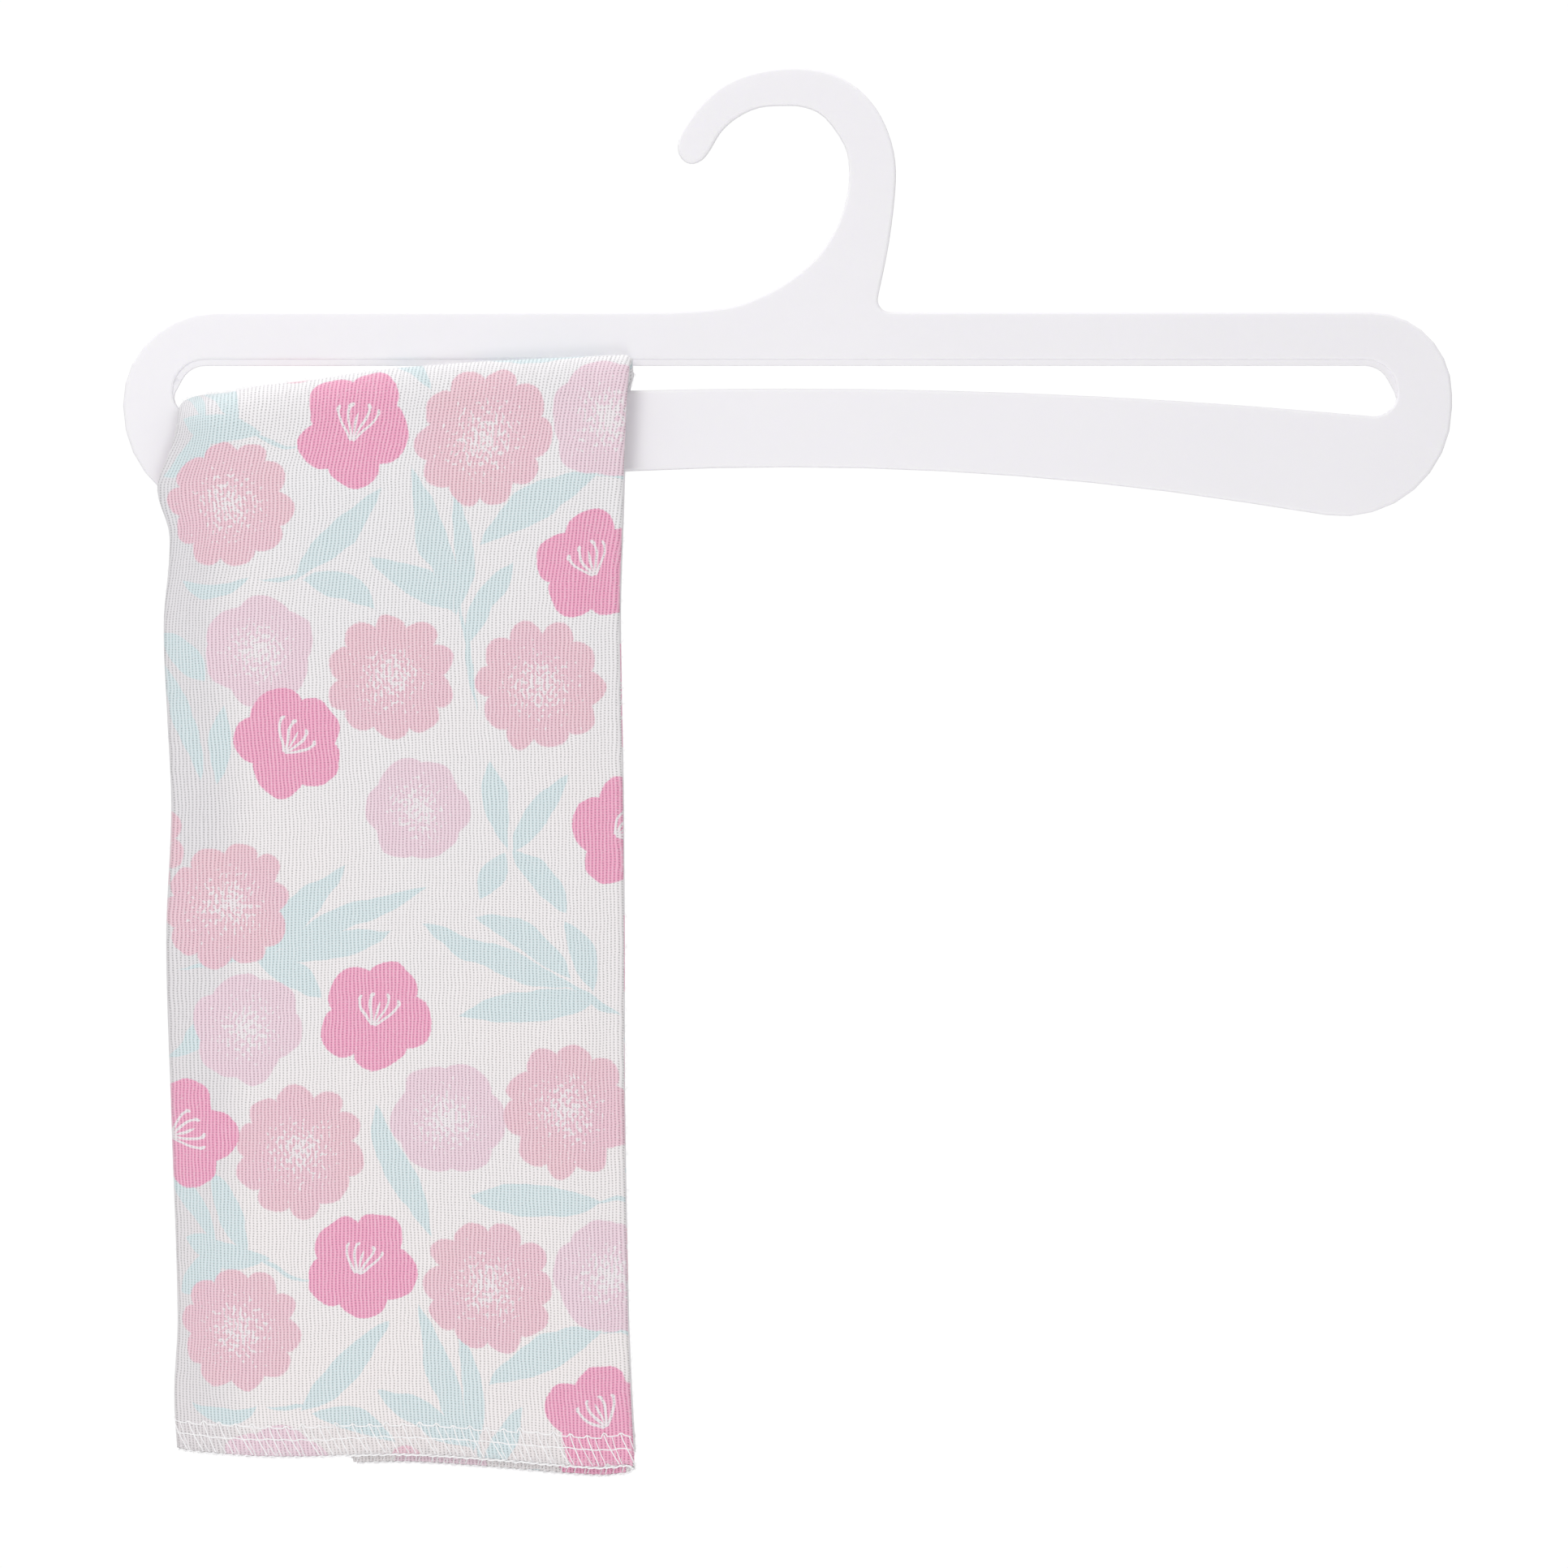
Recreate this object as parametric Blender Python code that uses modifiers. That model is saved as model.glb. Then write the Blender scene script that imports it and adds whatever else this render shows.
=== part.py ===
"""A flannel burp cloth, folded in three lengthwise and hung over a flat plastic hanger.

Metres, +Z up. The hanger's plate lies in the XZ plane and the front of the cloth faces -Y.
The origin is the inner crown of the hook, the point that rests on a shop's rail.
"""

import math

import bpy

MM = 0.001

# Hanger: one flat moulded plate
PLATE_THICK = 2.6 * MM
EDGE_ROUND = 0.5 * MM
FRAME_LEFT, FRAME_RIGHT = -136.5 * MM, 138.4 * MM
FRAME_TOP = -42.7 * MM
TOP_LEFT_ROUND, TOP_RIGHT_ROUND, BOTTOM_ROUND = 19 * MM, 17 * MM, 22.5 * MM
SLOT_LEFT, SLOT_RIGHT = -126.2 * MM, 127.0 * MM
SLOT_TOP = -52.6 * MM
SLOT_TOP_ROUND, SLOT_LOW_ROUND = 6.5 * MM, 4.8 * MM
HOOK_FOOT_ROUND = 2.5 * MM
FRAME_MIDDLE = 0.8 * MM

# The lower bar bows upwards: its upper edge, which carries the cloth, and its lower edge
BAR_TOP, BAR_TOP_RADIUS = -58.6 * MM, 1280 * MM
BAR_LOW, BAR_LOW_RADIUS = -74.8 * MM, 620 * MM
BAR_TOP_REACH, BAR_LOW_REACH = 112 * MM, 95 * MM

# Hook outline in millimetres (x, z): up its inner side from the bar, round the tip and back outside
HOOK = (
    (-24.0, -42.7), (-11.6, -41.8), (-3.9, -39.1), (1.3, -36.1), (6.6, -31.7), (9.9, -27.2),
    (12.1, -22.5), (13.4, -17.6), (13.6, -12.6), (12.6, -8.0), (8.6, -2.4), (4.4, -0.3),
    (0.0, 0.0), (-5.0, -0.4), (-9.4, -2.4), (-12.8, -5.4), (-15.1, -9.2), (-16.9, -11.3),
    (-19.2, -12.0), (-21.1, -10.8), (-21.8, -8.3), (-20.5, -4.6), (-16.6, 0.7), (-11.6, 4.7),
    (-5.0, 7.1), (2.7, 7.9), (9.9, 6.7), (15.5, 3.5), (19.3, -0.7), (21.8, -5.7),
    (23.2, -11.4), (23.2, -18.0), (21.9, -28.6), (20.0, -38.0),
)
HOOK_STEPS = 3

# Cloth: finished size 250 x 450 mm, drawn thicker than flannel is
CLOTH_THICK = 1.0 * MM
LAYER_GAP = 0.5 * MM
BAR_CLEARANCE = 2.1 * MM
CROWN_GAP = 0.5 * MM
HALF_GAP_LOW = 1.2 * MM
CLOSING_FROM, CLOSING_TO = 20 * MM, 120 * MM

# Layers, counted from the bar outwards, by the height of their middles over the innermost face
LAYER_STEP = CLOTH_THICK + LAYER_GAP
LEFT_FLAP = CLOTH_THICK / 2
RIGHT_FLAP = LEFT_FLAP + LAYER_STEP
PANEL = RIGHT_FLAP + LAYER_STEP
RIGHT_FOLD = (PANEL - RIGHT_FLAP) / 2
LEFT_FOLD = (PANEL - LEFT_FLAP) / 2
INNER_RADIUS = PLATE_THICK / 2 + BAR_CLEARANCE

# How far across the panel the flaps reach, as shares of its width from the left
RIGHT_FLAP_FROM = 0.32
LEFT_FLAP_TO = 0.975

# Side edges of the folded cloth in millimetres: depth below the bend, left edge, right edge
SIDES = (
    (-12, -123.9, -30.7),
    (0, -124.3, -32.1),
    (6, -127.2, -32.4),
    (12, -129.0, -32.7),
    (22, -126.5, -33.0),
    (41, -127.7, -33.6),
    (60, -127.0, -33.4),
    (80, -126.2, -33.0),
    (108, -127.3, -32.8),
    (145, -126.3, -32.7),
    (188, -125.0, -31.9),
    (205, -125.7, -31.2),
    (220, -124.8, -30.3),
)

# Hem of the front panel: share of the width from the left, height in millimetres
HEM = (
    (0.0, -276.6),
    (0.05, -278.8),
    (0.2, -279.0),
    (0.44, -278.4),
    (0.65, -279.4),
    (0.93, -281.2),
    (1.0, -280.7),
)

# What each layer hangs below the front panel's hem
RIGHT_FLAP_BELOW = 2.4 * MM
LEFT_FLAP_BELOW = -1.5 * MM
BACK_BELOW = -3 * MM

# Slow swells of the hanging halves: share of the width, of the length, height, reach across and down
SWELLS = (
    (-1, 0.10, 0.30, 0.45 * MM, 0.22, 0.16),
    (-1, 0.62, 0.52, 0.50 * MM, 0.30, 0.20),
    (-1, 0.30, 0.82, 0.45 * MM, 0.26, 0.14),
    (1, 0.35, 0.35, 0.50 * MM, 0.28, 0.20),
    (1, 0.75, 0.72, 0.45 * MM, 0.24, 0.18),
)

# Mesh steps: across each flap and panel, round each fold, down each half, over the bar
FLAT_STEPS, PANEL_STEPS, RIGHT_FOLD_STEPS, LEFT_FOLD_STEPS = 9, 13, 4, 6
DROP_STEPS, BEND_STEPS = 18, 10


def eased(share):
    """0 to 1 with level ends."""
    share = min(max(share, 0.0), 1.0)
    return share * share * (3 - 2 * share)


def read(table, at, column):
    """A column of a table at some place between its rows, on one smooth curve."""
    rows = [row[0] for row in table]
    at = min(max(at, rows[0]), rows[-1])
    i = max(k for k in range(len(rows) - 1) if rows[k] <= at)
    before, here, there, after = (
        table[min(max(i + k, 0), len(table) - 1)] for k in (-1, 0, 1, 2)
    )
    span = there[0] - here[0]
    slope_here = (there[column] - before[column]) / (there[0] - before[0])
    slope_there = (after[column] - here[column]) / (after[0] - here[0])
    t = (at - here[0]) / span
    return (
        (1 + 2 * t) * (1 - t) ** 2 * here[column]
        + t * (1 - t) ** 2 * span * slope_here
        + t * t * (3 - 2 * t) * there[column]
        - t * t * (1 - t) * span * slope_there
    )


def bow(x, top, radius):
    """Height of an edge that bows upwards about the frame's middle."""
    return top - radius + math.sqrt(radius**2 - (x - FRAME_MIDDLE) ** 2)


def bow_run(top, radius, reach, steps):
    """Points along a bowed edge, left to right."""
    places = [FRAME_MIDDLE - reach + 2 * reach * i / steps for i in range(steps + 1)]
    return [(x, bow(x, top, radius), 0.0) for x in places]


def bow_end(x, top, radius, reach):
    """Where the straight run on from the end of a bowed edge crosses the upright at x."""
    side = math.copysign(1.0, x)
    end = FRAME_MIDDLE + side * reach
    slope = math.tan(math.asin(reach / radius))
    return bow(end, top, radius) - slope * abs(x - end)


def smooth_run(points, steps):
    """A curve through every point, in short straight steps."""
    run = []
    for i in range(len(points) - 1):
        a, b, c, d = (points[min(max(i + k, 0), len(points) - 1)] for k in (-1, 0, 1, 2))
        for step in range(steps):
            t = step / steps
            run.append(
                tuple(
                    0.5
                    * (
                        2 * b[k]
                        + (c[k] - a[k]) * t
                        + (2 * a[k] - 5 * b[k] + 4 * c[k] - d[k]) * t * t
                        + (3 * b[k] - a[k] - 3 * c[k] + d[k]) * t**3
                    )
                    for k in (0, 1)
                )
            )
    return run + [points[-1]]


def rounded(corners):
    """The outline with each corner (x, z, radius) turned into an arc of that radius."""
    outline = []
    for i, (x, z, radius) in enumerate(corners):
        if radius == 0:
            outline.append((x, z))
            continue
        before, after = corners[i - 1], corners[(i + 1) % len(corners)]
        way_in = math.atan2(before[1] - z, before[0] - x)
        way_out = math.atan2(after[1] - z, after[0] - x)
        turn = math.remainder(way_out - way_in, math.tau)
        reach = radius / math.sin(abs(turn) / 2)
        middle = way_in + turn / 2
        centre_x, centre_z = x + reach * math.cos(middle), z + reach * math.sin(middle)
        sweep = math.copysign(math.pi - abs(turn), -turn)
        start = way_in + math.copysign(math.pi / 2, -turn)
        steps = max(3, round(abs(sweep) / math.radians(12)))
        for step in range(steps + 1):
            angle = start + sweep * step / steps
            outline.append((centre_x + radius * math.cos(angle), centre_z + radius * math.sin(angle)))
    return outline


def frame_outline():
    """Round the outside: the hook first, then clockwise about the frame."""
    hook = [(x, z, 0.0) for x, z in smooth_run([(x * MM, z * MM) for x, z in HOOK], HOOK_STEPS)]
    low_left = bow_end(FRAME_LEFT, BAR_LOW, BAR_LOW_RADIUS, BAR_LOW_REACH)
    low_right = bow_end(FRAME_RIGHT, BAR_LOW, BAR_LOW_RADIUS, BAR_LOW_REACH)
    corners = hook + [
        (hook[-1][0] - 1.0 * MM, FRAME_TOP, HOOK_FOOT_ROUND),
        (FRAME_RIGHT, FRAME_TOP, TOP_RIGHT_ROUND),
        (FRAME_RIGHT, low_right, BOTTOM_ROUND),
        *reversed(bow_run(BAR_LOW, BAR_LOW_RADIUS, BAR_LOW_REACH, 12)),
        (FRAME_LEFT, low_left, BOTTOM_ROUND),
        (FRAME_LEFT, FRAME_TOP, TOP_LEFT_ROUND),
    ]
    return rounded(corners)


def slot_outline():
    """Round the slot that the cloth passes through."""
    low_left = bow_end(SLOT_LEFT, BAR_TOP, BAR_TOP_RADIUS, BAR_TOP_REACH)
    low_right = bow_end(SLOT_RIGHT, BAR_TOP, BAR_TOP_RADIUS, BAR_TOP_REACH)
    return rounded(
        [
            (SLOT_LEFT, SLOT_TOP, SLOT_TOP_ROUND),
            (SLOT_LEFT, low_left, SLOT_LOW_ROUND),
            *bow_run(BAR_TOP, BAR_TOP_RADIUS, BAR_TOP_REACH, 14),
            (SLOT_RIGHT, low_right, SLOT_LOW_ROUND),
            (SLOT_RIGHT, SLOT_TOP, SLOT_TOP_ROUND),
        ]
    )


def material(name, colour, roughness):
    made = bpy.data.materials.new(name)
    made.use_nodes = True
    shader = made.node_tree.nodes["Principled BSDF"]
    shader.inputs["Base Color"].default_value = (*colour, 1)
    shader.inputs["Roughness"].default_value = roughness
    shader.inputs["Metallic"].default_value = 0.0
    return made


def make_hanger(collection):
    """The plate: a flat outline with one slot, half its thickness to each side."""
    curve = bpy.data.curves.new("hanger", "CURVE")
    curve.dimensions = "2D"
    curve.fill_mode = "BOTH"
    curve.bevel_depth = EDGE_ROUND
    curve.bevel_resolution = 1
    curve.offset = -EDGE_ROUND
    curve.extrude = PLATE_THICK / 2 - EDGE_ROUND
    for outline in (frame_outline(), slot_outline()):
        spline = curve.splines.new("POLY")
        spline.points.add(len(outline) - 1)
        spline.use_cyclic_u = True
        for point, (x, z) in zip(spline.points, outline):
            point.co = (x, z, 0, 1)
    curve.materials.append(material("frosted plastic", (0.9, 0.89, 0.93), 0.35))
    hanger = bpy.data.objects.new("hanger", curve)
    hanger.rotation_euler = (math.pi / 2, 0, 0)
    collection.objects.link(hanger)
    return hanger


def half_turn(middle, radius, side, start, steps):
    """The inner points of a fold: shift across and height, turning outwards to the given side."""
    turns = [math.pi * step / steps for step in range(1, steps)]
    return [(side * radius * math.sin(a), middle + start * radius * math.cos(a)) for a in turns]


def cross_section():
    """The three layers as one strip: (share across, shift across, height, hem below the panel's)."""
    columns = []
    for i in range(FLAT_STEPS + 1):
        share = RIGHT_FLAP_FROM + (1 - RIGHT_FLAP_FROM) * i / FLAT_STEPS
        columns.append((share, 0.0, RIGHT_FLAP, RIGHT_FLAP_BELOW))
    right_middle = (RIGHT_FLAP + PANEL) / 2
    fold = half_turn(right_middle, RIGHT_FOLD, 1, -1, RIGHT_FOLD_STEPS)
    for i, (shift, height) in enumerate(fold):
        below = RIGHT_FLAP_BELOW * (1 - (i + 1) / RIGHT_FOLD_STEPS)
        columns.append((1.0, shift, height, below))
    for i in range(PANEL_STEPS + 1):
        columns.append((1 - i / PANEL_STEPS, 0.0, PANEL, 0.0))
    left_middle = (LEFT_FLAP + PANEL) / 2
    fold = half_turn(left_middle, LEFT_FOLD, -1, 1, LEFT_FOLD_STEPS)
    for i, (shift, height) in enumerate(fold):
        below = LEFT_FLAP_BELOW * (i + 1) / LEFT_FOLD_STEPS
        columns.append((0.0, shift, height, below))
    for i in range(FLAT_STEPS + 1):
        columns.append((LEFT_FLAP_TO * i / FLAT_STEPS, 0.0, LEFT_FLAP, LEFT_FLAP_BELOW))
    return columns


def long_section():
    """From the front hem over the bar to the back hem: (turn from straight up, share of the drop)."""
    down = [i / DROP_STEPS for i in range(1, DROP_STEPS + 1)]
    front = [(-math.pi / 2, share) for share in reversed(down)]
    over = [(math.pi * (i / BEND_STEPS - 0.5), 0.0) for i in range(BEND_STEPS + 1)]
    back = [(math.pi / 2, share) for share in down]
    return front + over + back


def swell(side, across, along):
    """How far the hanging cloth bellies outwards at one place."""
    total = 0.0
    for which, centre, level, height, wide, long in SWELLS:
        if which == side:
            away = ((across - centre) / wide) ** 2 + ((along - level) / long) ** 2
            total += height * math.exp(-away)
    return total


def place(column, row):
    """One point of the cloth's middle surface."""
    share, shift, height, below = column
    turn, along = row
    side = math.copysign(1.0, turn)
    depth = -read(SIDES, -12, 0) * (abs(turn) / (math.pi / 2) - 1)
    if along > 0:
        depth = along * (SIDES[-1][0] - 4)
    left = read(SIDES, depth, 1) * MM + LEFT_FOLD + CLOTH_THICK / 2
    right = read(SIDES, depth, 2) * MM - RIGHT_FOLD - CLOTH_THICK / 2
    x = left + share * (right - left) + shift
    centre = bow(x, BAR_TOP, BAR_TOP_RADIUS) + CROWN_GAP - INNER_RADIUS
    if along == 0:
        radius = INNER_RADIUS + height
        return x, radius * math.sin(turn), centre + radius * math.cos(turn)
    hem = read(HEM, share, 1) * MM - below
    if side > 0:
        hem -= BACK_BELOW
    z = centre + along * (hem - centre)
    closing = eased((centre - z - CLOSING_FROM) / (CLOSING_TO - CLOSING_FROM))
    inner = INNER_RADIUS + closing * (HALF_GAP_LOW - INNER_RADIUS)
    return x, side * (inner + height + swell(side, share, along)), z


def make_cloth(collection):
    """One sheet: three layers across, carried over the bar, with its thickness added both ways."""
    columns, rows = cross_section(), long_section()
    points = [place(column, row) for row in rows for column in columns]
    wide = len(columns)
    faces = []
    for j in range(len(rows) - 1):
        for i in range(wide - 1):
            corner = j * wide + i
            faces.append((corner, corner + wide, corner + wide + 1, corner + 1))
    mesh = bpy.data.meshes.new("burp_cloth")
    mesh.from_pydata(points, [], faces)
    mesh.shade_smooth()
    mesh.materials.append(material("printed flannel", (0.88, 0.76, 0.79), 0.95))
    cloth = bpy.data.objects.new("burp_cloth", mesh)
    collection.objects.link(cloth)
    thickness = cloth.modifiers.new("Thickness", "SOLIDIFY")
    thickness.thickness = CLOTH_THICK
    thickness.offset = 0
    thickness.use_even_offset = True
    thickness.use_quality_normals = True
    return cloth


def main():
    for old in list(bpy.data.objects):
        bpy.data.objects.remove(old, do_unlink=True)
    collection = bpy.data.collections.new("Burp cloth on a hanger")
    bpy.context.scene.collection.children.link(collection)
    make_hanger(collection)
    make_cloth(collection)


main()
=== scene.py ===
import math

import bpy
import numpy as np
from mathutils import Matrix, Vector


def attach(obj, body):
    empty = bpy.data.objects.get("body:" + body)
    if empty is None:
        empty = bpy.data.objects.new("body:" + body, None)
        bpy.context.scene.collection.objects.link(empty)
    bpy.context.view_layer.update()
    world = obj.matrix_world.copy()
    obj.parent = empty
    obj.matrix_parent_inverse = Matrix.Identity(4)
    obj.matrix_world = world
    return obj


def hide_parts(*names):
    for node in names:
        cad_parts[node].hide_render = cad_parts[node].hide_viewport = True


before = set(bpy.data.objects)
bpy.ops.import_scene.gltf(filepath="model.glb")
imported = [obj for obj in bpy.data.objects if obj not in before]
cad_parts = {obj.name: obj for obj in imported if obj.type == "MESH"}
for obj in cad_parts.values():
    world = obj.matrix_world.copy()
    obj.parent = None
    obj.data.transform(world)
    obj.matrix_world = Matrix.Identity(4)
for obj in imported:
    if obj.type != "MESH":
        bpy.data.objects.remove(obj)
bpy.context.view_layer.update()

MM = 0.001

# The cut cloth, in millimetres
CLOTH_WIDE, CLOTH_LONG = 250.0, 450.0
CLOTH_THICK = 0.7

# Where the cloth turns, counted across it from the right flap's free edge
RIGHT_TURN_FROM, RIGHT_TURN_TO = 61.5, 64.8
LEFT_TURN_FROM, LEFT_TURN_TO = 148.3, 168.8
RIGHT_FLAP_FROM, LEFT_FLAP_TO = 0.32, 0.975

# Where it turns over the bar, counted up from the front hem
DROP_LONG, BEND_LONG = 211.75, 26.5

# Heights of the layers over the innermost face, and the space round the bar
LEFT_FLAP, RIGHT_FLAP, PANEL = 0.5, 2.0, 3.5
INNER_RADIUS, HALF_GAP_LOW = 3.4, 1.2
CLOSING_FROM, CLOSING_TO = 20.0, 120.0
RIGHT_ROLL, LEFT_MIDDLE = 1.3, 1.6
BAR_TOP, BAR_TOP_RADIUS, FRAME_MIDDLE = -58.6, 1280.0, 0.8
CROWN_GAP = 0.5
RIGHT_FLAP_BELOW, LEFT_FLAP_BELOW, BACK_BELOW = 1.8, -2.3, -3.0

# Side edges of the folded cloth: depth below the bend, left edge, right edge
SIDES = (
    (-12, -124.9, -30.7),
    (0, -125.2, -32.1),
    (6, -127.2, -32.4),
    (12, -129.0, -32.7),
    (22, -126.5, -33.0),
    (41, -127.7, -33.6),
    (60, -127.0, -33.4),
    (80, -126.2, -33.0),
    (108, -127.3, -32.8),
    (145, -126.3, -32.7),
    (188, -125.0, -31.9),
    (205, -125.7, -31.2),
    (220, -124.8, -30.3),
)

# How far in the left edge starts to roll back: depth below the bend, reach
LEFT_ROLL = (
    (-12, 5.0),
    (0, 6.5),
    (12, 9.5),
    (24, 8.0),
    (60, 9.2),
    (108, 10.6),
    (150, 9.2),
    (190, 8.2),
    (220, 9.6),
)

# Hem of the front panel: share of the width from the left, height
HEM = (
    (0.0, -278.5),
    (0.05, -278.8),
    (0.10, -279.0),
    (0.2, -279.0),
    (0.44, -278.4),
    (0.65, -279.4),
    (0.93, -281.2),
    (1.0, -280.7),
)

# How far the front of the fold stands above the bar's own bend: place across, height
LIP = (
    (-125, 0.0),
    (-118, 0.4),
    (-109, 1.9),
    (-98, 2.4),
    (-86, 3.4),
    (-76, 3.9),
    (-60, 4.2),
    (-45, 4.3),
    (-31, 4.5),
)

# Share of that lift by the turn from straight up, in degrees
LIP_SHARE = (
    (0, 0.0),
    (17, 0.0),
    (23, 0.35),
    (30, 0.75),
    (38, 0.95),
    (45, 1.0),
    (60, 0.85),
    (75, 0.55),
    (90, 0.27),
)

# Slow swells of the hanging halves: front or back, share across, share down, height, reaches
SWELLS = (
    (-1, 0.10, 0.30, 0.45, 0.22, 0.16),
    (-1, 0.62, 0.52, 0.50, 0.30, 0.20),
    (-1, 0.30, 0.82, 0.45, 0.26, 0.14),
    (1, 0.35, 0.35, 0.50, 0.28, 0.20),
    (1, 0.75, 0.72, 0.45, 0.24, 0.18),
)

# Soft troughs and ridges: front or back, middle x and z, turn in degrees, half length, half width, height
CREASES = (
    (-1, -121.0, -88.5, 20, 9.0, 2.6, -0.45),
    (-1, -119.0, -79.0, 35, 8.0, 4.0, 0.40),
    (-1, -104.0, -66.0, 8, 14.0, 3.0, -0.22),
    (-1, -62.0, -62.5, 3, 18.0, 3.0, -0.20),
    (-1, -118.5, -205.0, 80, 22.0, 3.2, -0.25),
    (-1, -84.0, -262.0, 5, 16.0, 4.0, 0.25),
    (-1, -48.0, -268.0, 12, 12.0, 4.0, -0.25),
    (1, -70.0, -110.0, 75, 30.0, 6.0, 0.30),
    (1, -100.0, -200.0, 60, 26.0, 5.0, -0.25),
)


def read(table, at, column):
    """A column of a table at the given places, on one smooth curve through its rows."""
    rows = np.array([row[0] for row in table], float)
    values = np.array([row[column] for row in table], float)
    count = len(rows)
    before = np.maximum(np.arange(count) - 1, 0)
    after = np.minimum(np.arange(count) + 1, count - 1)
    slopes = (values[after] - values[before]) / (rows[after] - rows[before])
    at = np.clip(at, rows[0], rows[-1])
    i = np.clip(np.searchsorted(rows, at, side="right") - 1, 0, count - 2)
    span = rows[i + 1] - rows[i]
    t = (at - rows[i]) / span
    return (
        (1 + 2 * t) * (1 - t) ** 2 * values[i]
        + t * (1 - t) ** 2 * span * slopes[i]
        + t * t * (3 - 2 * t) * values[i + 1]
        - t * t * (1 - t) * span * slopes[i + 1]
    )


def eased(share):
    """0 to 1 with level ends."""
    share = np.clip(share, 0.0, 1.0)
    return share * share * (3 - 2 * share)


def bar_height(x):
    """Height of the bar's upper edge, which bows upwards about the frame's middle."""
    return BAR_TOP - BAR_TOP_RADIUS + np.sqrt(BAR_TOP_RADIUS**2 - (x - FRAME_MIDDLE) ** 2)


def turn_angle(share, wide, deep):
    """Angle round a flattened half turn at an even share of its length."""
    angles = np.linspace(0, math.pi, 61)
    steps = np.hypot(wide * np.cos(angles), deep * np.sin(angles))
    lengths = np.concatenate([[0], np.cumsum((steps[1:] + steps[:-1]) / 2)])
    return np.interp(share, lengths / lengths[-1], angles)


def bend_turn(past, lip):
    """Turn from straight up at a length past the start of the bend; the lip makes the way up longer."""
    steep = 5.4 + 3.1 * lip
    level = steep + 3.4 + 1.6 * lip
    top = level + 2.0
    rest = BEND_LONG - top
    degrees = np.select(
        [past < 0, past < steep, past < level, past < top, past < BEND_LONG],
        [
            -90.0,
            -90 + 45 * past / steep,
            -45 + 28 * (past - steep) / (level - steep),
            -17 + 17 * (past - level) / (top - level),
            90 * (past - top) / rest,
        ],
        90.0,
    )
    return np.radians(degrees)


def creases(side, x, z):
    """Height of the listed troughs and ridges at one place of the hanging halves."""
    total = np.zeros_like(x)
    for which, middle_x, middle_z, turn, long, wide, height in CREASES:
        c, s = math.cos(math.radians(turn)), math.sin(math.radians(turn))
        along = (x - middle_x) * c + (z - middle_z) * s
        across = (z - middle_z) * c - (x - middle_x) * s
        bow = across - 0.012 * along**2
        shape = height * np.exp(-((along / long) ** 2) - (bow / wide) ** 2)
        total += np.where(side == which, shape, 0.0)
    return total


def ripple(x, z):
    """The small unevenness of washed flannel."""
    return (
        0.10 * np.sin(x / 7.3 + 0.6 * np.sin(z / 19.0) + 1.2)
        + 0.09 * np.sin(z / 10.7 + 0.8 * np.sin(x / 15.0))
        + 0.05 * np.sin((x + 0.7 * z) / 4.9)
    )


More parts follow.
